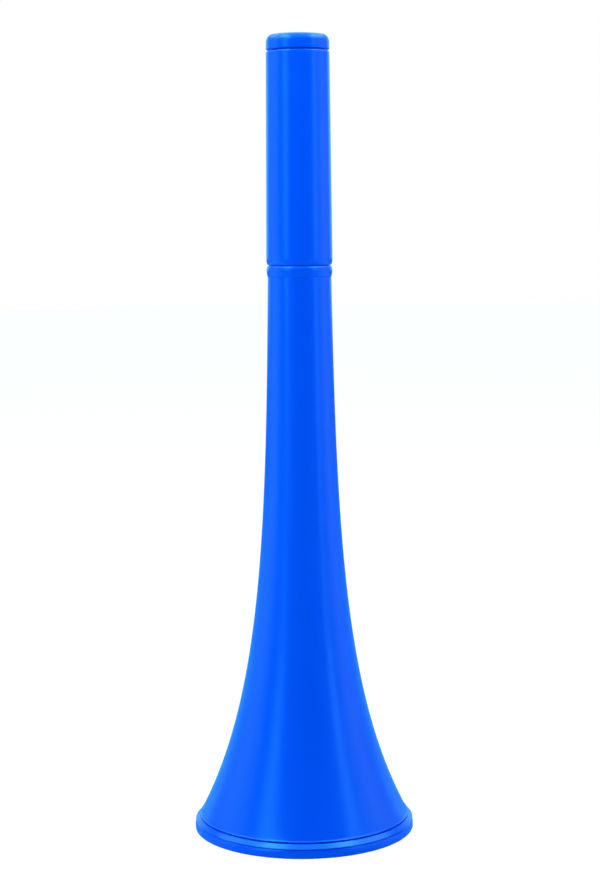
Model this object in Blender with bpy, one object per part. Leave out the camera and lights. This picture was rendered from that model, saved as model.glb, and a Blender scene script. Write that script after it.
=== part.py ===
"""A collapsible stadium horn of moulded plastic, pushed closed and standing on its bell.

A flared bell carries a bumper ring round its mouth and a collar in its neck. A plain tube
slides through the collar, and a barrel with the mouthpiece slides on the tube. Two rubber
rings hold the tube at any length, and two stop rings keep the three sections together.

Metres, +Z up. The origin is the centre of the flat foot that the horn stands on.
"""

import math

import bmesh
import bpy

# Clearances
SEAT_GAP = 0.0003
FIT_GAP = 0.0002
SLIDE_GAP = 0.0003
SEAL_GAP = 0.00012

# Sliding tube
TUBE_RADIUS = 0.01125
TUBE_WALL = 0.0012
TUBE_LIFT = 0.007

# Stop rings on the two ends of the tube
STOP_HEIGHT = 0.0063
STOP_WALL = 0.00135
STOP_LIP = 0.0007

# Rubber rings
SEAL_SECTION = 0.0015

# Bell: an exponential flare from the neck to the mouth
BELL_HEIGHT = 0.2569
BELL_WALL = 0.0015
FLARE_SPREAD = 0.03856
FLARE_LENGTH = 0.0667
LIP_STEP = 0.00115
LIP_BLEND = 0.002

# Bumper ring round the mouth
RING_HEIGHT = 0.0063
RING_BULGE = 0.00234
RING_FLOOR = 0.0015
RING_WALL = 0.0014
RING_INNER_HEIGHT = 0.0052
CREASE_HEIGHT = 0.0041
CREASE_DEPTH = 0.00064
BAND_HEIGHT = 0.00205
FOOT_ROUND = 0.0006

# Collar in the neck
SPIGOT_LENGTH = 0.0135
SPIGOT_WALL = 0.0012
COLLAR_HEIGHT = 0.00485
COLLAR_BEAD = 0.00045
COLLAR_BEAD_HEIGHT = 0.003
COLLAR_BEAD_FULLNESS = 0.45
COLLAR_TOP_STEP = 0.0008
COLLAR_FLOOR = 0.0014

# Barrel
BARREL_LENGTH = 0.0958
BARREL_WALL = 0.00127
BARREL_FOOT_WALL = 0.00203
BARREL_LIP = 0.0024
BARREL_FOOT_ROUND = 0.00103
BARREL_FOOT_ROUND_HEIGHT = 0.0031
BARREL_TOP_ROUND = 0.0008
GUIDE_HEIGHT = 0.005

# Mouthpiece
HEAD_HEIGHT = 0.00705
HEAD_INSET = 0.00003
HEAD_ROUND = 0.0026
HEAD_ROUND_HEIGHT = 0.0036
HEAD_EDGE = 0.0006
RIM_RADIUS = 0.0094
RIM_ROUND_HEIGHT = 0.0015
CUP_DEPTH = 0.014
CUP_FULLNESS = 0.8
THROAT_RADIUS = 0.0046
SHANK_LENGTH = 0.01415
SHANK_WALL = 0.0022

# Linear colours
BLUE = (0.0, 0.095, 0.87)
BLACK = (0.012, 0.012, 0.013)

# Number of flat sides round each kind of piece
BELL_SIDES = 60
BODY_SIDES = 48
INNER_SIDES = 36
SHARP_ANGLE = math.radians(32)

# Radii, worked out from the tube outwards
SLIDE_BORE = TUBE_RADIUS + SLIDE_GAP
SPIGOT_RADIUS = SLIDE_BORE + SPIGOT_WALL
NECK_BORE = SPIGOT_RADIUS + SEAT_GAP
NECK_RADIUS = NECK_BORE + BELL_WALL
STOP_BORE = TUBE_RADIUS + FIT_GAP
STOP_RADIUS = STOP_BORE + STOP_WALL
BARREL_BORE = STOP_RADIUS + SLIDE_GAP
BARREL_RADIUS = BARREL_BORE + BARREL_WALL
SEAL_RADIUS = TUBE_RADIUS + SEAL_GAP + SEAL_SECTION / 2

# Heights, worked out from the foot upwards
SHOULDER_HEIGHT = RING_HEIGHT + SEAT_GAP
COLLAR_SEAT = BELL_HEIGHT + SEAT_GAP
COLLAR_TOP = COLLAR_SEAT + COLLAR_HEIGHT
NECK_SEAL_FLOOR = COLLAR_SEAT + COLLAR_FLOOR
BARREL_FOOT = COLLAR_TOP + SEAT_GAP
BARREL_TOP = BARREL_FOOT + BARREL_LENGTH
BARREL_SEAL_FLOOR = BARREL_FOOT + BARREL_LIP
SEAL_ROOM = SEAL_SECTION + 2 * SEAT_GAP
GUIDE_FOOT = BARREL_SEAL_FLOOR + SEAL_ROOM
HEAD_SEAT = BARREL_TOP + SEAT_GAP
SHANK_END = HEAD_SEAT - SHANK_LENGTH
TOP_STOP_TOP = SHANK_END - SEAT_GAP
TUBE_FOOT = TUBE_LIFT + STOP_LIP + SEAT_GAP
TUBE_TOP = TOP_STOP_TOP - STOP_LIP - SEAT_GAP


def flare_radius(height):
    """Outer radius of the bell: the neck's, plus a spread that decays with height."""
    decay = math.exp(-height / FLARE_LENGTH) - math.exp(-BELL_HEIGHT / FLARE_LENGTH)
    return NECK_RADIUS + FLARE_SPREAD * decay


def flare_bore(height):
    """Inner radius of the bell: the outer one less the wall, measured square to the flare."""
    slope = FLARE_SPREAD / FLARE_LENGTH * math.exp(-height / FLARE_LENGTH)
    return flare_radius(height) - BELL_WALL * math.hypot(1, slope)


def flare_heights(bottom, top, count):
    """Heights from bottom to top, closer together towards the mouth where the flare turns."""
    shares = [(i / count) ** 1.5 for i in range(count + 1)]
    return [bottom + (top - bottom) * share for share in shares]


def arc(centre, size, start, end, steps):
    """Points on an ellipse about centre, from one angle to another in degrees."""
    turns = [math.radians(start + (end - start) * i / steps) for i in range(steps + 1)]
    return [
        (centre[0] + size[0] * math.cos(turn), centre[1] + size[1] * math.sin(turn))
        for turn in turns
    ]


def bend(start, pull, end, steps):
    """Points on the curve that leaves start towards pull and arrives at end from it."""
    points = []
    for i in range(steps + 1):
        t = i / steps
        weights = ((1 - t) ** 2, 2 * t * (1 - t), t**2)
        points.append(
            tuple(
                weights[0] * start[axis] + weights[1] * pull[axis] + weights[2] * end[axis]
                for axis in (0, 1)
            )
        )
    return points


def finish(name, colour, roughness, specular=0.5):
    """A one-colour material, with the colour given as linear red, green and blue."""
    material = bpy.data.materials.new(name)
    material.use_nodes = True
    shader = material.node_tree.nodes["Principled BSDF"]
    shader.inputs["Base Color"].default_value = (*colour, 1)
    shader.inputs["Roughness"].default_value = roughness
    shader.inputs["Metallic"].default_value = 0
    shader.inputs["Specular IOR Level"].default_value = specular
    material.diffuse_color = (*colour, 1)
    return material


def section(name, height, parent=None):
    """An empty on the horn's axis that carries the pieces of one section."""
    empty = bpy.data.objects.new(name, None)
    empty.empty_display_size = TUBE_RADIUS
    bpy.context.scene.collection.objects.link(empty)
    empty.parent = parent
    empty.location.z = height - (parent.matrix_world.translation.z if parent else 0)
    bpy.context.view_layer.update()
    return empty


def turned(name, outline, sides, material, carrier):
    """Spins a closed outline round the horn's axis.

    The outline lists (radius, height) points down the outer side and up the inner side.
    """
    seat = carrier.matrix_world.translation.z
    shape = bmesh.new()
    corners = [shape.verts.new((radius, 0, height - seat)) for radius, height in outline]
    edges = [shape.edges.new((corners[i - 1], corners[i])) for i in range(len(corners))]
    bmesh.ops.spin(
        shape,
        geom=corners + edges,
        cent=(0, 0, 0),
        axis=(0, 0, 1),
        angle=math.tau,
        steps=sides,
        use_merge=True,
    )
    bmesh.ops.recalc_face_normals(shape, faces=shape.faces)
    mesh = bpy.data.meshes.new(name)
    shape.to_mesh(mesh)
    shape.free()
    mesh.shade_smooth()
    mesh.set_sharp_from_angle(angle=SHARP_ANGLE)
    mesh.materials.append(material)
    piece = bpy.data.objects.new(name, mesh)
    piece.parent = carrier
    bpy.context.scene.collection.objects.link(piece)


def make_bell(material, carrier):
    """The flared shell, whose lip is stepped in to seat in the bumper ring."""
    shoulder_radius = flare_radius(SHOULDER_HEIGHT)
    lip_radius = shoulder_radius - LIP_STEP
    lip_end = RING_FLOOR + SEAT_GAP
    blend_height = SHOULDER_HEIGHT + LIP_BLEND
    lip_bore = flare_bore(blend_height)
    outer = [(flare_radius(h), h) for h in flare_heights(SHOULDER_HEIGHT, BELL_HEIGHT, 18)]
    inner = [(flare_bore(h), h) for h in flare_heights(blend_height, BELL_HEIGHT, 13)]
    lip = [(lip_radius, SHOULDER_HEIGHT), (lip_radius, lip_end), (lip_bore, lip_end)]
    turned("bell", outer[::-1] + lip + inner, BELL_SIDES, material, carrier)


def make_rim_ring(material, carrier):
    """The bumper ring: a shoulder bead over a bulged band, with a channel for the bell's lip."""
    seam_radius = flare_radius(SHOULDER_HEIGHT)
    widest = seam_radius + RING_BULGE
    crease = (widest - CREASE_DEPTH, CREASE_HEIGHT)
    bead_pull = (widest, CREASE_HEIGHT + CREASE_DEPTH / 3)
    bead = bend((seam_radius, RING_HEIGHT), bead_pull, crease, 5)
    band_pull = (widest, (CREASE_HEIGHT + BAND_HEIGHT) / 2)
    band = bend(crease, band_pull, (widest, BAND_HEIGHT), 3)[1:]
    edge_centre = (widest - FOOT_ROUND, FOOT_ROUND)
    edge = arc(edge_centre, (FOOT_ROUND, FOOT_ROUND), 0, -90, 3)
    channel_outer = seam_radius - LIP_STEP + SEAT_GAP
    channel_inner = flare_bore(SHOULDER_HEIGHT + LIP_BLEND) - SEAT_GAP
    bore = channel_inner - RING_WALL
    half_wall = RING_WALL / 2
    inner_edge = arc((bore + FOOT_ROUND, FOOT_ROUND), (FOOT_ROUND, FOOT_ROUND), -90, -180, 2)
    crest_centre = (bore + half_wall, RING_INNER_HEIGHT - half_wall)
    crest = arc(crest_centre, (half_wall, half_wall), 180, 0, 3)
    channel = [
        (channel_inner, RING_FLOOR),
        (channel_outer, RING_FLOOR),
        (channel_outer, RING_HEIGHT),
    ]
    outline = bead + band + edge + inner_edge + crest + channel
    turned("rim_ring", outline, BELL_SIDES, material, carrier)


def make_neck_collar(material, carrier):
    """The collar: a beaded flange on the neck, a spigot inside it and a groove for its seal."""
    widest = NECK_RADIUS + COLLAR_BEAD
    bead_height = COLLAR_SEAT + COLLAR_BEAD_HEIGHT
    top_radius = widest - COLLAR_TOP_STEP
    upper_size = (COLLAR_TOP_STEP, COLLAR_TOP - bead_height)
    upper = arc((top_radius, bead_height), upper_size, 90, 0, 4)
    lower_pull = (widest, bead_height - COLLAR_BEAD_HEIGHT * COLLAR_BEAD_FULLNESS)
    lower = bend((widest, bead_height), lower_pull, (NECK_RADIUS, COLLAR_SEAT), 4)[1:]
    spigot_end = BELL_HEIGHT - SPIGOT_LENGTH
    spigot = [
        (SPIGOT_RADIUS, COLLAR_SEAT),
        (SPIGOT_RADIUS, spigot_end + FIT_GAP),
        (SPIGOT_RADIUS - FIT_GAP, spigot_end),
        (SLIDE_BORE, spigot_end),
    ]
    groove_radius = SEAL_RADIUS + SEAL_SECTION / 2 + SEAL_GAP
    groove_top = NECK_SEAL_FLOOR + SEAL_ROOM
    groove = [
        (SLIDE_BORE, NECK_SEAL_FLOOR),
        (groove_radius, NECK_SEAL_FLOOR),
        (groove_radius, groove_top),
        (SLIDE_BORE, groove_top),
        (SLIDE_BORE, COLLAR_TOP),
    ]
    turned("neck_collar", upper + lower + spigot + groove, BODY_SIDES, material, carrier)


def make_seal(name, floor, material, carrier):
    """A rubber ring of round section, lying in the room above floor."""
    half = SEAL_SECTION / 2
    outline = arc((SEAL_RADIUS, floor + SEAL_ROOM / 2), (half, half), 112.5, -202.5, 7)
    turned(name, outline, INNER_SIDES, material, carrier)


def make_mid_tube(material, carrier):
    """The plain tube that slides in the collar and carries the barrel."""
    bore = TUBE_RADIUS - TUBE_WALL
    outline = [
        (TUBE_RADIUS, TUBE_TOP),
        (TUBE_RADIUS, TUBE_FOOT),
        (bore, TUBE_FOOT),
        (bore, TUBE_TOP),
    ]
    turned("mid_tube", outline, INNER_SIDES, material, carrier)


def make_stop_ring(name, radius, tube_end, upwards, material, carrier):
    """A ring on one end of the tube, with a lip over the tube's end and a bevelled far corner."""
    way = 1 if upwards else -1
    lip_face = tube_end + way * SEAT_GAP
    end = lip_face + way * STOP_LIP
    far = end - way * STOP_HEIGHT
    bevel = STOP_WALL / 3
    outline = [
        (radius - bevel, end),
        (radius, end - way * bevel),
        (radius, far),
        (STOP_BORE, far),
        (STOP_BORE, lip_face),
        (TUBE_RADIUS - TUBE_WALL, lip_face),
        (TUBE_RADIUS - TUBE_WALL, end),
    ]
    turned(name, outline, INNER_SIDES, material, carrier)


def make_barrel(material, carrier):
    """The tapered grip that covers the tube, with a lip at its foot under the seal."""
    foot_radius = BARREL_BORE + BARREL_FOOT_WALL
    foot_centre = (foot_radius - BARREL_FOOT_ROUND, BARREL_FOOT + BARREL_FOOT_ROUND_HEIGHT)
    foot_size = (BARREL_FOOT_ROUND, BARREL_FOOT_ROUND_HEIGHT)
    top_centre = (BARREL_RADIUS - BARREL_TOP_ROUND, BARREL_TOP - BARREL_TOP_ROUND)
    top = arc(top_centre, (BARREL_TOP_ROUND, BARREL_TOP_ROUND), 90, 0, 3)
    foot = arc(foot_centre, foot_size, 0, -90, 5)
    bore = [
        (SLIDE_BORE, BARREL_FOOT),
        (SLIDE_BORE, BARREL_SEAL_FLOOR),
        (BARREL_BORE, BARREL_SEAL_FLOOR),
        (BARREL_BORE, BARREL_TOP),
    ]
    turned("barrel", top + foot + bore, BODY_SIDES, material, carrier)


def make_barrel_guide(material, carrier):
    """The bush that keeps the seal down and stops the tube's top ring."""
    radius = BARREL_BORE - FIT_GAP
    bevel = FIT_GAP
    outline = [
        (radius - bevel, GUIDE_FOOT + GUIDE_HEIGHT),
        (radius, GUIDE_FOOT + GUIDE_HEIGHT - bevel),
        (radius, GUIDE_FOOT),
        (SLIDE_BORE, GUIDE_FOOT),
        (SLIDE_BORE, GUIDE_FOOT + GUIDE_HEIGHT),
    ]
    turned("barrel_guide", outline, INNER_SIDES, material, carrier)


def make_mouthpiece(material, carrier):
    """The head with its rounded rim and cup, and the shank pushed into the barrel."""
    head_radius = BARREL_RADIUS - HEAD_INSET
    head_top = HEAD_SEAT + HEAD_HEIGHT
    crest_radius = head_radius - HEAD_ROUND
    crown_centre = (crest_radius, head_top - HEAD_ROUND_HEIGHT)
    crown = arc(crown_centre, (HEAD_ROUND, HEAD_ROUND_HEIGHT), 90, 0, 5)
    edge_centre = (head_radius - HEAD_EDGE, HEAD_SEAT + HEAD_EDGE)
    edge = arc(edge_centre, (HEAD_EDGE, HEAD_EDGE), 0, -90, 2)
    shank_radius = BARREL_BORE - FIT_GAP
    shank = [
        (shank_radius, HEAD_SEAT),
        (shank_radius, SHANK_END + FIT_GAP),
        (shank_radius - FIT_GAP, SHANK_END),
        (shank_radius - SHANK_WALL, SHANK_END),
    ]
    throat = (THROAT_RADIUS, head_top - CUP_DEPTH)
    rim_foot = (RIM_RADIUS, head_top - RIM_ROUND_HEIGHT)
    bowl_pull = (RIM_RADIUS, head_top - CUP_DEPTH * CUP_FULLNESS)
    bowl = bend(throat, bowl_pull, rim_foot, 6)
    rim_size = (crest_radius - RIM_RADIUS, RIM_ROUND_HEIGHT)
    rim = arc((crest_radius, rim_foot[1]), rim_size, 180, 90, 3)[1:-1]
    outline = crown + edge + shank + bowl + rim
    turned("mouthpiece", outline, BODY_SIDES, material, carrier)


def main():
    for item in list(bpy.data.objects):
        bpy.data.objects.remove(item)
    blue = finish("blue moulded plastic", BLUE, 0.22)
    tube_blue = finish("blue extruded plastic", BLUE, 0.3)
    rubber = finish("black seal rubber", BLACK, 0.6)
    bell_section = section("bell_section", 0)
    mid_section = section("mid_section", TUBE_FOOT, bell_section)
    barrel_section = section("barrel_section", BARREL_FOOT, mid_section)
    make_bell(blue, bell_section)
    make_rim_ring(blue, bell_section)
    make_neck_collar(blue, bell_section)
    make_seal("neck_seal", NECK_SEAL_FLOOR, rubber, bell_section)
    make_mid_tube(tube_blue, mid_section)
    make_stop_ring("foot_ring", SPIGOT_RADIUS, TUBE_FOOT, False, blue, mid_section)
    make_stop_ring("top_ring", STOP_RADIUS, TUBE_TOP, True, blue, mid_section)
    make_barrel(blue, barrel_section)
    make_seal("barrel_seal", BARREL_SEAL_FLOOR, rubber, barrel_section)
    make_barrel_guide(blue, barrel_section)
    make_mouthpiece(blue, barrel_section)


main()
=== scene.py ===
"""A collapsible stadium horn of blue moulded plastic, closed and standing on its bell.

Every piece is turned: a closed outline of (radius, height) points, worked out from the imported
frame's own sizes, is carried round the horn's axis on a grid. Metres, +Z up.
"""

import math

import bpy
import numpy as np
from mathutils import Matrix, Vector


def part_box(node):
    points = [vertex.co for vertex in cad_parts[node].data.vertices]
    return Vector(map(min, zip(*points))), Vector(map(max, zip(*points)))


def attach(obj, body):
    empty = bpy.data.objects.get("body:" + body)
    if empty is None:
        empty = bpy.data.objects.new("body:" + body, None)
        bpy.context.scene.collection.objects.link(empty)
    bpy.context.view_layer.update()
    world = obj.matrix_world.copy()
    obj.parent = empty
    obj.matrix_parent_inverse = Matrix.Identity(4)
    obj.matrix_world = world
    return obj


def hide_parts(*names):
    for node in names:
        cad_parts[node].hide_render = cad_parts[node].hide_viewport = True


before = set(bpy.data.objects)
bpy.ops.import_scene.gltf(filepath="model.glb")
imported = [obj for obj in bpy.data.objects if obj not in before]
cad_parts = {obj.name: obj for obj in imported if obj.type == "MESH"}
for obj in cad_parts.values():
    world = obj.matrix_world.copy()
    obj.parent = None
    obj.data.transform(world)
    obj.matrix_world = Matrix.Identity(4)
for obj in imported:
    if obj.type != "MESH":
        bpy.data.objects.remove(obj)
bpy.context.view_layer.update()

# Camera: solved from the outline of the photograph, which is 600 x 896 pixels
PHOTO_LONG_SIDE = 896
FOCAL_PIXELS = 1957.76
CAMERA_DISTANCE = 0.89548
CAMERA_HEIGHT = 0.28079
CAMERA_PITCH = math.radians(-6.52)
CAMERA_ROLL = math.radians(-0.5)
CAMERA_YAW = math.radians(0.03)

# Lamp colours
WHITE = (1.0, 1.0, 1.0)
COOL = (0.5, 0.86, 1.0)

# What the gloss reflects is cool, because the photographed blue shows no red but at its edges
SHEEN_TINT = (0.05, 0.7, 1.0, 1.0)
FILL_TINT = (0.1, 0.8, 1.0, 1.0)
BACKDROP_TINT = (0.4, 1.0, 1.0, 1.0)

# The +Y part of a view direction at which the backdrop begins, and at which it is full
BACKDROP_START = 0.45
BACKDROP_FULL = 0.9

# Floor: its paper as it is, the same paper in the horn's gloss, and what the camera sees
PAPER_TINT = (0.85, 0.85, 0.85, 1.0)
PAPER_IN_GLOSS = (0.1, 0.5, 0.62, 1.0)
FLOOR_GLOW = 1.1
FLOOR_HALF = 6.0

# Patterns in the materials, counted per metre
CLOUDS = 40.0
RIPPLES = 800.0
HAIRLINES = 110.0
HAIRLINE_STRETCH = 60.0
RUBBER_GRAINS = 3200.0

# Sockets of a mix node for colours
MIX_SHARE = 0
MIX_FIRST = 6
MIX_SECOND = 7
MIX_RESULT = 2

# Fineness of the turned surfaces: the bell, the finest, stays under 200,000 triangles
SIDES = 256
FLARE_STEPS = 140
FLARE_CROWDING = 1.4

# Walls and running gaps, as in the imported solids
BELL_WALL = 0.0015
TUBE_WALL = 0.0012
SLIDE_GAP = 0.0003
SEAT_GAP = 0.0003
FIT_GAP = 0.0002

# Bell's flare, and the small edge that it ends in above the ring
FLARE_LENGTH = 0.0667
LIP_STEP = 0.00115
LIP_BLEND = 0.002
LEDGE_RISE = 0.00075
LEDGE_REACH = 0.00016
LEDGE_EDGE = 0.00028
LEDGE_HOLD = 0.8

# How much wider or narrower than the solids' gaps the seams are, to read as in the photo
SEAM_OPEN = 0.00035
NECK_RISE = 0.0002
COLLAR_LIP_RISE = 0.0002
HEAD_LIFT = 0.00025

# Bumper ring
CREASE_HEIGHT = 0.0041
CREASE_DEPTH = 0.00064
BAND_HEIGHT = 0.00205
RING_FLOOR = 0.0015
RING_WALL = 0.0014
RING_INNER_HEIGHT = 0.0052
FOOT_ROUND = 0.0006
RING_TOP_ROUND = 0.00018
BEAD_ROUND = 0.0004
CREASE_WIDTH = 0.0004
CREASE_CUT = 0.0006

# Collar
COLLAR_FLANGE = 0.00485
COLLAR_BEAD_HEIGHT = 0.003
COLLAR_BEAD_FULLNESS = 0.45
COLLAR_TOP_STEP = 0.0008
COLLAR_FLOOR = 0.0014
SPIGOT_WALL = 0.0012

# Barrel
BARREL_WALL = 0.00127
BARREL_LIP = 0.0024
BARREL_FOOT_ROUND = 0.00103
BARREL_FOOT_ROUND_HEIGHT = 0.0031
BARREL_TOP_ROUND = 0.0008

# Mouthpiece
HEAD_HEIGHT = 0.00705
HEAD_ROUND = 0.0026
HEAD_ROUND_HEIGHT = 0.0036
HEAD_EDGE = 0.0006
RIM_RADIUS = 0.0094
RIM_ROUND_HEIGHT = 0.0015
CUP_DEPTH = 0.014
CUP_FULLNESS = 0.8
THROAT_RADIUS = 0.0046
SHANK_WALL = 0.0022

# Small edges
SOFT_EDGE = 0.0002
STOP_LIP = 0.0007
SEAL_SECTION = 0.0015


def reach(node):
    """(radius, lowest height, highest height) of a turned CAD node."""
    low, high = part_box(node)
    return high.x, low.z, high.z


def reach_inner(node):
    """The radius of the lowest opening through a turned CAD node."""
    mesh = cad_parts[node].data
    points = np.empty(len(mesh.vertices) * 3, np.float32)
    mesh.vertices.foreach_get("co", points)
    points = points.reshape(-1, 3)
    lowest = points[points[:, 2] < points[:, 2].min() + 1e-5]
    return float(np.hypot(lowest[:, 0], lowest[:, 1]).min())


def neck_outer():
    """The neck's outer radius: the foot ring has room inside the bell's wall."""
    return reach("foot_ring")[0] + SEAT_GAP + BELL_WALL


def slide_bore():
    """The radius of the openings that run on the tube."""
    return reach("mid_tube")[0] + SLIDE_GAP


def grip_bore():
    """The barrel's inner radius: the top ring runs in it."""
    return reach("top_ring")[0] + SLIDE_GAP


def straight(start, end, steps=8):
    """A straight run whose points crowd to both ends: half of one less the cosine of an even turn."""
    share = (1 - np.cos(np.linspace(0, math.pi, steps + 1))) / 2
    return np.outer(1 - share, start) + np.outer(share, end)


def arc(centre, size, start, end, steps=16):
    """Part of an ellipse: centre plus size times (cosine, sine) of an angle, in degrees."""
    turn = np.radians(np.linspace(start, end, steps + 1))
    return np.stack(
        [centre[0] + size[0] * np.cos(turn), centre[1] + size[1] * np.sin(turn)], axis=1
    )


def bend(start, pull, end, steps=16):
    """A curve that leaves start towards pull and arrives at end from it, of the second degree."""
    t = np.linspace(0, 1, steps + 1)
    return (
        np.outer((1 - t) ** 2, start) + np.outer(2 * t * (1 - t), pull) + np.outer(t**2, end)
    )


def softened(corners, size=SOFT_EDGE):
    """Straight runs through the corners, in which each corner between is a small bend."""
    points = np.array(corners, float)
    runs = [points[:1]]
    here = points[0]
    for corner, after in zip(points[1:-1], points[2:]):
        before_length = np.linalg.norm(corner - here)
        after_length = np.linalg.norm(after - corner)
        cut = min(size, before_length * 0.45, after_length * 0.45)
        start = corner + (here - corner) * cut / before_length
        end = corner + (after - corner) * cut / after_length
        runs += [straight(here, start)[1:], bend(start, corner, end, 6)[1:]]
        here = end
    runs.append(straight(here, points[-1])[1:])
    return np.concatenate(runs)


def joined(*runs):
    """One closed outline from its runs, without the points where two of them meet."""
    outline = np.concatenate([np.atleast_2d(np.array(run, float)) for run in runs])
    step = np.linalg.norm(outline - np.roll(outline, 1, axis=0), axis=1)
    return outline[step > 1e-7]


def turned(name, outline, material, body, slot, *nodes):
    """The outline carried round the axis: x and y are the radius times (cosine, sine) of the turn.

    The grid closes on itself both ways, and its faces point outwards.
    """
    radius, height = outline[:, 0], outline[:, 1]
    turns = np.linspace(0, math.tau, SIDES, endpoint=False)
    x = np.outer(np.cos(turns), radius)
    y = np.outer(np.sin(turns), radius)
    z = np.tile(height, (SIDES, 1))
    points = np.stack([x, y, z], axis=2).reshape(-1, 3)
    count = len(outline)
    here = np.arange(SIDES)[:, None] * count + np.arange(count)[None, :]
    beyond = np.roll(here, -1, axis=0)
    quads = np.stack(
        [here, beyond, np.roll(beyond, -1, axis=1), np.roll(here, -1, axis=1)], axis=2
    ).reshape(-1, 4)
    area = np.sum(radius * np.roll(height, -1) - np.roll(radius, -1) * height)
    if area < 0:
        quads = quads[:, ::-1]
    mesh = bpy.data.meshes.new(name)
    mesh.vertices.add(len(points))
    mesh.vertices.foreach_set("co", points.ravel())
    mesh.loops.add(quads.size)
    mesh.loops.foreach_set("vertex_index", quads.ravel())
    mesh.polygons.add(len(quads))
    mesh.polygons.foreach_set("loop_start", np.arange(0, quads.size, 4))
    mesh.update(calc_edges=True)
    mesh.shade_smooth()
    mesh.materials.append(material)
    piece = bpy.data.objects.new(name, mesh)
    bpy.context.scene.collection.objects.link(piece)
    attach(piece, body)
    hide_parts(*nodes)
    return piece


def linear(text):
    """An sRGB hex colour as the linear red, green, blue and alpha that shaders take."""
    part = np.array([int(text[i : i + 2], 16) for i in (1, 3, 5)]) / 255
    value = np.where(part <= 0.04045, part / 12.92, ((part + 0.055) / 1.055) ** 2.4)
    return (*value.tolist(), 1)


def add(tree, kind, settings=None, links=None):
    """Adds a node with its settings, its sockets' values and its links from other sockets.

    A socket goes by its name, or by its number where several have one name.
    """
    node = tree.nodes.new(kind)
    for key, value in (settings or {}).items():
        if isinstance(key, str) and hasattr(node, key):
            setattr(node, key, value)
        else:
            node.inputs[key].default_value = value
    for key, source in (links or {}).items():
        tree.links.new(source, node.inputs[key])
    return node


def empty_material(name):
    """A material with no nodes yet, and its node tree."""
    material = bpy.data.materials.new(name)
    material.use_nodes = True
    material.node_tree.nodes.clear()
    return material, material.node_tree


def blue_plastic(name, deep, pale, roughness, ripple_depth):
    """Polypropylene, coloured through: a clean blue with a soft gloss.

    The melt leaves slow clouds some 25 mm wide in the colour, the mould's polish leaves a
    ripple 1.2 mm wide, and handling leaves hairlines 0.15 mm wide that run round the horn.
    """
    material, tree = empty_material(name)
    place = add(tree, "ShaderNodeTexCoord").outputs["Object"]
    clouds = add(
        tree, "ShaderNodeTexNoise", {"Scale": CLOUDS, "Detail": 2.0}, {"Vector": place}
    )
    tone = add(
        tree,
        "ShaderNodeMix",
        {"data_type": "RGBA", MIX_FIRST: linear(deep), MIX_SECOND: linear(pale)},
        {MIX_SHARE: clouds.outputs[0]},
    )
    stretch = add(
        tree, "ShaderNodeMapping", {"Scale": (1.0, 1.0, HAIRLINE_STRETCH)}, {"Vector": place}
    )
    lines = add(
        tree,
        "ShaderNodeTexNoise",
        {"Scale": HAIRLINES, "Detail": 3.0},
        {"Vector": stretch.outputs[0]},
    )
    polished, worn = roughness - 0.01, roughness + 0.02
    wear = add(
        tree,
        "ShaderNodeMapRange",
        {"From Min": 0.35, "From Max": 0.75, "To Min": polished, "To Max": worn},
        {"Value": lines.outputs[0]},
    )
    ripple = add(
        tree, "ShaderNodeTexNoise", {"Scale": RIPPLES, "Detail": 2.0}, {"Vector": place}
    )
    bump = add(
        tree,
        "ShaderNodeBump",
        {"Strength": 1.0, "Distance": ripple_depth},
        {"Height": ripple.outputs[0]},
    )
    shader = add(
        tree,
        "ShaderNodeBsdfPrincipled",
        {"Metallic": 0.0, "IOR": 1.49, "Specular Tint": SHEEN_TINT},
        {
            "Base Color": tone.outputs[MIX_RESULT],
            "Roughness": wear.outputs[0],
            "Normal": bump.outputs[0],
        },
    )
    add(tree, "ShaderNodeOutputMaterial", links={"Surface": shader.outputs[0]})
    return material


def seal_rubber():
    """Nitrile rubber, moulded: near black and dull, with a grain some 0.3 mm wide."""
    material, tree = empty_material("nitrile rubber, moulded")
    place = add(tree, "ShaderNodeTexCoord").outputs["Object"]
    grain = add(
        tree, "ShaderNodeTexNoise", {"Scale": RUBBER_GRAINS, "Detail": 2.0}, {"Vector": place}
    )
    sheen = add(
        tree, "ShaderNodeMapRange", {"To Min": 0.5, "To Max": 0.7}, {"Value": grain.outputs[0]}
    )
    bump = add(
        tree,
        "ShaderNodeBump",
        {"Strength": 0.6, "Distance": 0.00003},
        {"Height": grain.outputs[0]},
    )
    shader = add(
        tree,
        "ShaderNodeBsdfPrincipled",
        {"Base Color": linear("#1b1b1c"), "IOR": 1.52},
        {"Roughness": sheen.outputs[0], "Normal": bump.outputs[0]},
    )
    add(tree, "ShaderNodeOutputMaterial", links={"Surface": shader.outputs[0]})
    return material


def flare_curve(neck_radius, top, mouth_radius, mouth_height):
    """The bell's outer radius at a height: the neck's plus a spread that decays with height."""
    end = math.exp(-top / FLARE_LENGTH)
    spread = (mouth_radius - neck_radius) / (math.exp(-mouth_height / FLARE_LENGTH) - end)
    return lambda height: neck_radius + spread * (np.exp(-height / FLARE_LENGTH) - end)


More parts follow.
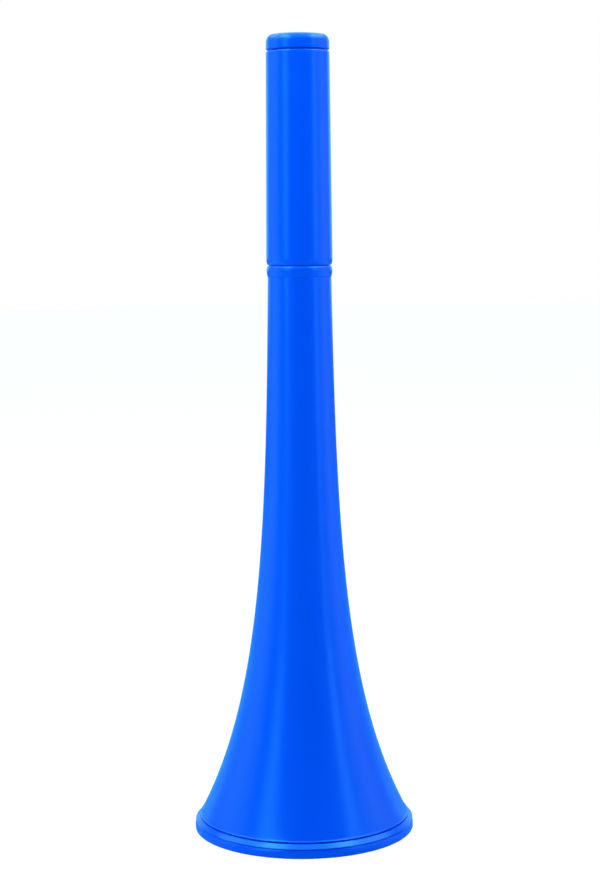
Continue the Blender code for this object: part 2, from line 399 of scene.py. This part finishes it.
def make_bell(material):
    """The flared shell, with a small ledge just above the ring and a lip inside it."""
    mouth_radius, lip_end, neck_end = reach("bell")
    top = neck_end + NECK_RISE
    ring_top = reach("rim_ring")[2]
    shoulder = ring_top + SEAT_GAP
    neck_radius = neck_outer()
    flare = flare_curve(neck_radius, top, mouth_radius, shoulder)
    nudge = 1e-5
    slope = (flare(0.0) - flare(nudge)) / nudge
    share = np.linspace(0, 1, FLARE_STEPS + 1) ** FLARE_CROWDING
    ledge_floor = shoulder + SEAM_OPEN
    ledge_top = ledge_floor + LEDGE_EDGE
    ledge_start = ledge_top + LEDGE_RISE
    outer_height = ledge_start + (top - SOFT_EDGE - ledge_start) * share[::-1]
    outer = np.stack([flare(outer_height), outer_height], axis=1)
    ledge_radius = mouth_radius + LEDGE_REACH
    pull_height = ledge_start - LEDGE_RISE * LEDGE_HOLD
    ledge_pull = (flare(pull_height), pull_height)
    ledge = bend(outer[-1], ledge_pull, (ledge_radius - LEDGE_EDGE, ledge_top), 12)[1:]
    edge = arc((ledge_radius - LEDGE_EDGE, ledge_floor), (LEDGE_EDGE, LEDGE_EDGE), 90, 0, 10)[1:]
    lip_radius = mouth_radius - LIP_STEP
    blend = shoulder + LIP_BLEND
    inner_height = blend + (top - SOFT_EDGE - blend) * share
    steepness = slope * np.exp(-inner_height / FLARE_LENGTH)
    bore = flare(inner_height) - BELL_WALL * np.hypot(1, steepness)
    inner = np.stack([bore, inner_height], axis=1)
    lip = softened(
        [edge[-1], (lip_radius, ledge_floor), (lip_radius, lip_end), (bore[0], lip_end), inner[0]]
    )[1:-1]
    neck = softened([inner[-1], (bore[-1], top), (neck_radius, top), outer[0]])[1:-1]
    outline = joined(outer, ledge, edge, lip, inner, neck)
    return turned("bell_shell", outline, material, "bell_section", "shell_plastic", "bell")


def make_ring(material):
    """The bumper ring: a shoulder bead over a fine crease and a bulged band, with a channel."""
    widest, _, top = reach("rim_ring")
    seam_radius = reach("bell")[0]
    crease = (widest - CREASE_DEPTH, CREASE_HEIGHT)
    start = np.array([seam_radius + RING_TOP_ROUND, top - RING_TOP_ROUND / 3])
    corner = np.array([widest, CREASE_HEIGHT + CREASE_DEPTH / 3])
    turn = corner + (start - corner) * BEAD_ROUND / np.linalg.norm(start - corner)
    above = (crease[0], CREASE_HEIGHT + CREASE_WIDTH / 2)
    below = (crease[0], CREASE_HEIGHT - CREASE_WIDTH / 2)
    root = (crease[0] - CREASE_CUT, CREASE_HEIGHT)
    cone = straight(start, turn, 12)
    bead = joined(cone, bend(turn, corner, above, 12), bend(above, root, below, 8))
    band_pull = (widest, (CREASE_HEIGHT + BAND_HEIGHT) / 2)
    band = bend(below, band_pull, (widest, BAND_HEIGHT), 20)
    foot = arc((widest - FOOT_ROUND, FOOT_ROUND), (FOOT_ROUND, FOOT_ROUND), 0, -90)
    channel_outer = seam_radius - LIP_STEP + SEAT_GAP
    bore = reach_inner("bell") - SEAT_GAP - RING_WALL
    half_wall = RING_WALL / 2
    inner_foot = arc((bore + FOOT_ROUND, FOOT_ROUND), (FOOT_ROUND, FOOT_ROUND), -90, -180)
    crest = arc((bore + half_wall, RING_INNER_HEIGHT - half_wall), (half_wall, half_wall), 180, 0)
    channel = softened(
        [
            crest[-1],
            (bore + RING_WALL, RING_FLOOR),
            (channel_outer, RING_FLOOR),
            (channel_outer, top),
            start,
        ],
        RING_TOP_ROUND,
    )[1:-1]
    under = straight(foot[-1], inner_foot[0])[1:-1]
    inside = straight(inner_foot[-1], crest[0])[1:-1]
    outline = joined(bead, band, foot, under, inner_foot, inside, crest, channel)
    return turned("bumper_ring", outline, material, "bell_section", "shell_plastic", "rim_ring")


def make_collar(material):
    """The collar: a beaded flange with two creases, and the spigot with the seal's groove."""
    widest, spigot_end, top = reach("neck_collar")
    seat = top - COLLAR_FLANGE
    neck_radius = neck_outer()
    bore = slide_bore()
    spigot_radius = bore + SPIGOT_WALL
    bead = seat + COLLAR_BEAD_HEIGHT
    upper_size = (COLLAR_TOP_STEP, top - bead)
    upper = arc((widest - COLLAR_TOP_STEP, bead), upper_size, 90, 0, 20)
    lower_pull = (widest, bead - COLLAR_BEAD_HEIGHT * COLLAR_BEAD_FULLNESS)
    lower = bend((widest, bead), lower_pull, (neck_radius, seat), 20)
    groove_floor = seat + COLLAR_FLOOR
    seal_radius, _, seal_top = reach("neck_seal")
    groove_top = seal_top + SEAT_GAP
    groove_radius = seal_radius + SLIDE_GAP / 2
    lip_top = top + COLLAR_LIP_RISE
    lip_radius = upper[0, 0] - COLLAR_LIP_RISE
    inside = softened(
        [
            lower[-1],
            (spigot_radius, seat),
            (spigot_radius, spigot_end),
            (bore, spigot_end),
            (bore, groove_floor),
            (groove_radius, groove_floor),
            (groove_radius, groove_top),
            (bore, groove_top),
            (bore, lip_top),
            (lip_radius, lip_top),
            (lip_radius, top),
            upper[0],
        ],
        COLLAR_LIP_RISE / 3,
    )[1:-1]
    outline = joined(upper, lower, inside)
    return turned("collar", outline, material, "bell_section", "shell_plastic", "neck_collar")


def make_seal(name, node, body, material):
    """A rubber ring of round section."""
    radius, low, high = reach(node)
    half = SEAL_SECTION / 2
    outline = arc((radius - half, (low + high) / 2), (half, half), 90, -270, 24)[:-1]
    return turned(name, outline, material, body, "seal_rubber", node)


def make_tube(material):
    """The plain extruded tube, its two ends trimmed with a small edge."""
    radius, foot, top = reach("mid_tube")
    bore = radius - TUBE_WALL
    middle = (foot + top) / 2
    outline = softened(
        [
            (radius, middle),
            (radius, foot),
            (bore, foot),
            (bore, top),
            (radius, top),
            (radius, middle),
        ]
    )
    return turned(
        "sliding_tube", joined(outline), material, "mid_section", "tube_plastic", "mid_tube"
    )


def make_stop(name, node, upwards, material):
    """A ring on the tube's end, with a lip over the end and a bevelled far corner."""
    radius, low, high = reach(node)
    tube_radius = reach("mid_tube")[0]
    seat_radius = tube_radius + FIT_GAP
    end, far, way = (high, low, 1) if upwards else (low, high, -1)
    lip = end - way * STOP_LIP
    bore = tube_radius - TUBE_WALL
    bevel = (radius - seat_radius) / 3
    middle = (low + high) / 2
    outline = softened(
        [
            (radius, middle),
            (radius, far),
            (seat_radius, far),
            (seat_radius, lip),
            (bore, lip),
            (bore, end),
            (radius - bevel, end),
            (radius, end - way * bevel),
            (radius, middle),
        ]
    )
    return turned(name, joined(outline), material, "mid_section", "shell_plastic", node)


def make_barrel(material):
    """The grip: a long straight taper that rounds in at the foot, with a lip under its seal."""
    foot_radius, foot, top = reach("barrel")
    bore = grip_bore()
    top_radius = bore + BARREL_WALL
    lip_bore = slide_bore()
    lip_top = foot + BARREL_LIP
    crown_centre = (top_radius - BARREL_TOP_ROUND, top - BARREL_TOP_ROUND)
    crown = arc(crown_centre, (BARREL_TOP_ROUND, BARREL_TOP_ROUND), 90, 0)
    foot_centre = (foot_radius - BARREL_FOOT_ROUND, foot + BARREL_FOOT_ROUND_HEIGHT)
    heel = arc(foot_centre, (BARREL_FOOT_ROUND, BARREL_FOOT_ROUND_HEIGHT), 0, -90, 24)
    taper = straight(crown[-1], heel[0], 24)[1:-1]
    inside = softened(
        [
            heel[-1],
            (lip_bore, foot),
            (lip_bore, lip_top),
            (bore, lip_top),
            (bore, top),
            crown[0],
        ]
    )[1:-1]
    outline = joined(crown, taper, heel, inside)
    return turned("barrel_grip", outline, material, "barrel_section", "shell_plastic", "barrel")


def make_guide(material):
    """The bush over the barrel's seal, with a small bevel to lead it in."""
    radius, foot, top = reach("barrel_guide")
    bore = slide_bore()
    middle = (foot + top) / 2
    outline = softened(
        [
            (radius, middle),
            (radius, foot),
            (bore, foot),
            (bore, top),
            (radius - FIT_GAP, top),
            (radius, top - FIT_GAP),
            (radius, middle),
        ]
    )
    return turned(
        "barrel_bush", joined(outline), material, "barrel_section", "shell_plastic", "barrel_guide"
    )


def make_mouthpiece(material):
    """The head with its rounded rim over the cup and throat, and the shank in the barrel."""
    head_radius, shank_end, top = reach("mouthpiece")
    seat = top - HEAD_HEIGHT + HEAD_LIFT
    shank_radius = grip_bore() - FIT_GAP
    crest_radius = head_radius - HEAD_ROUND
    crown_size = (HEAD_ROUND, HEAD_ROUND_HEIGHT)
    crown = arc((crest_radius, top - HEAD_ROUND_HEIGHT), crown_size, 90, 0, 32)
    edge = arc((head_radius - HEAD_EDGE, seat + HEAD_EDGE), (HEAD_EDGE, HEAD_EDGE), 0, -90)
    throat = (THROAT_RADIUS, top - CUP_DEPTH)
    rim_foot = (RIM_RADIUS, top - RIM_ROUND_HEIGHT)
    bowl = bend(throat, (RIM_RADIUS, top - CUP_DEPTH * CUP_FULLNESS), rim_foot, 40)
    rim = arc((crest_radius, rim_foot[1]), (crest_radius - RIM_RADIUS, RIM_ROUND_HEIGHT), 180, 90)
    shank_bore = shank_radius - SHANK_WALL
    shank = softened(
        [
            edge[-1],
            (shank_radius, seat),
            (shank_radius, shank_end),
            (shank_bore, shank_end),
            throat,
        ]
    )[1:-1]
    side = straight(crown[-1], edge[0])[1:-1]
    outline = joined(crown, side, edge, shank, bowl, rim[1:-1])
    return turned(
        "mouthpiece_head", outline, material, "barrel_section", "shell_plastic", "mouthpiece"
    )


def make_camera():
    """The camera stands in front of the horn, on -Y, and looks a little down."""
    data = bpy.data.cameras.new("camera")
    data.lens = FOCAL_PIXELS / PHOTO_LONG_SIDE * data.sensor_width
    data.clip_start = 0.01
    camera = bpy.data.objects.new("camera", data)
    bpy.context.scene.collection.objects.link(camera)
    place = Matrix.Translation((0, -CAMERA_DISTANCE, CAMERA_HEIGHT))
    heading = Matrix.Rotation(CAMERA_YAW, 4, "Z")
    tilt = Matrix.Rotation(math.radians(90) + CAMERA_PITCH, 4, "X")
    roll = Matrix.Rotation(CAMERA_ROLL, 4, "Z")
    camera.matrix_world = place @ heading @ tilt @ roll
    bpy.context.scene.camera = camera


def softbox(name, azimuth, elevation, distance, size, radiance, only="", target=0.18, tint=WHITE):
    """A rectangular lamp that faces the horn. Azimuth is in degrees to the right of the camera.

    A lamp that is only "soft" lights without a reflection, and one that is only "shine" is the
    reverse, as a flagged lamp or a white card is.
    """
    width, height = size
    turn, rise = math.radians(azimuth), math.radians(elevation)
    offset = np.array(
        [math.sin(turn) * math.cos(rise), -math.cos(turn) * math.cos(rise), math.sin(rise)]
    )
    data = bpy.data.lights.new(name, "AREA")
    data.shape = "RECTANGLE"
    data.size = width
    data.size_y = height
    data.energy = radiance * math.pi * width * height
    data.color = tint
    lamp = bpy.data.objects.new(name, data)
    lamp.location = offset * distance + np.array([0, 0, target])
    lamp.rotation_euler = (math.radians(90) - rise, 0, turn)
    lamp.visible_camera = False
    lamp.visible_glossy = only != "soft"
    lamp.visible_diffuse = only != "shine"
    bpy.context.scene.collection.objects.link(lamp)


def white_world(fill, backdrop):
    """White to the camera. To the horn, a cool fill with a brighter backdrop behind it, on +Y.

    The backdrop's share grows smoothly with the view direction's +Y part.
    """
    world = bpy.data.worlds.new("studio")
    bpy.context.scene.world = world
    world.use_nodes = True
    tree = world.node_tree
    tree.nodes.clear()
    path = add(tree, "ShaderNodeLightPath").outputs
    seen = add(
        tree,
        "ShaderNodeMath",
        {"operation": "MAXIMUM"},
        {0: path["Is Camera Ray"], 1: path["Is Transmission Ray"]},
    )
    way = add(tree, "ShaderNodeTexCoord").outputs["Generated"]
    behind = add(tree, "ShaderNodeSeparateXYZ", links={"Vector": way}).outputs["Y"]
    rise = {
        "interpolation_type": "SMOOTHSTEP",
        "From Min": BACKDROP_START,
        "From Max": BACKDROP_FULL,
    }
    share = add(tree, "ShaderNodeMapRange", rise, {"Value": behind})
    level = add(
        tree, "ShaderNodeMapRange", {**rise, "To Min": fill, "To Max": backdrop}, {"Value": behind}
    )
    tone = add(
        tree,
        "ShaderNodeMix",
        {"data_type": "RGBA", MIX_FIRST: FILL_TINT, MIX_SECOND: BACKDROP_TINT},
        {MIX_SHARE: share.outputs[0]},
    )
    dim = add(
        tree,
        "ShaderNodeBackground",
        links={"Color": tone.outputs[MIX_RESULT], "Strength": level.outputs[0]},
    )
    white = add(tree, "ShaderNodeBackground", {"Color": (*WHITE, 1.0), "Strength": 1.0})
    mix = add(
        tree,
        "ShaderNodeMixShader",
        links={0: seen.outputs[0], 1: dim.outputs[0], 2: white.outputs[0]},
    )
    add(tree, "ShaderNodeOutputWorld", links={"Surface": mix.outputs[0]})


def white_floor(shadow):
    """A wide white floor. The camera sees it as white, with the given share of the real shading.

    The horn's gloss sees the paper cooler and darker than it is.
    """
    material, tree = empty_material("white seamless paper")
    path = add(tree, "ShaderNodeLightPath").outputs
    tone = add(
        tree,
        "ShaderNodeMix",
        {"data_type": "RGBA", MIX_FIRST: PAPER_TINT, MIX_SECOND: PAPER_IN_GLOSS},
        {MIX_SHARE: path["Is Glossy Ray"]},
    )
    paper = add(tree, "ShaderNodeBsdfDiffuse", links={"Color": tone.outputs[MIX_RESULT]})
    glow = add(tree, "ShaderNodeEmission", {"Color": (*WHITE, 1.0), "Strength": FLOOR_GLOW})
    share = add(
        tree,
        "ShaderNodeMath",
        {"operation": "MULTIPLY", 1: 1 - shadow},
        {0: path["Is Camera Ray"]},
    )
    mix = add(
        tree,
        "ShaderNodeMixShader",
        links={0: share.outputs[0], 1: paper.outputs[0], 2: glow.outputs[0]},
    )
    add(tree, "ShaderNodeOutputMaterial", links={"Surface": mix.outputs[0]})
    mesh = bpy.data.meshes.new("floor")
    near, far = -FLOOR_HALF, FLOOR_HALF
    corners = [(near, near, 0), (far, near, 0), (far, far, 0), (near, far, 0)]
    mesh.from_pydata(corners, [], [(0, 1, 2, 3)])
    mesh.materials.append(material)
    floor = bpy.data.objects.new("floor", mesh)
    bpy.context.scene.collection.objects.link(floor)


moulded = blue_plastic("polypropylene, injection moulded", "#0046dd", "#0049e0", 0.25, 0.0000006)
extruded = blue_plastic("polypropylene, extruded", "#0045dc", "#0048df", 0.32, 0.0000009)
rubber = seal_rubber()

make_bell(moulded)
make_ring(moulded)
make_collar(moulded)
make_seal("collar_seal", "neck_seal", "neck_grip", rubber)
make_tube(extruded)
make_stop("foot_stop", "foot_ring", False, moulded)
make_stop("top_stop", "top_ring", True, moulded)
make_barrel(moulded)
make_seal("grip_seal", "barrel_seal", "barrel_grip", rubber)
make_guide(moulded)
make_mouthpiece(moulded)

make_camera()
softbox("left softbox", -46, 30, 1.3, (0.42, 1.5), 3.0)
softbox("left key", -38, 37, 1.25, (0.34, 0.3), 8.0)
softbox("right softbox", 60, 25, 1.3, (0.3, 1.4), 2.8)
softbox("left side", -98, 12, 1.3, (0.9, 1.4), 5.6, only="soft")
softbox("right side", 98, 12, 1.3, (0.9, 1.4), 4.4, only="soft")
softbox("left overhead", -65, 62, 0.69, (0.22, 0.2), 11.0, only="shine")
softbox("right overhead", 80, 58, 0.66, (0.2, 0.18), 11.0, only="shine")
softbox("top softbox", 0, 90, 0.67, (2.0, 1.1), 5.0, only="shine", tint=COOL)
softbox("top light", 0, 88, 1.3, (0.7, 0.7), 1.5, only="soft")
softbox("front top light", 0, 35, 0.3, (0.2, 0.2), 2.8, only="soft", target=0.34)
white_world(0.26, 1.45)
white_floor(0.12)
bpy.context.scene.view_settings.view_transform = "Standard"
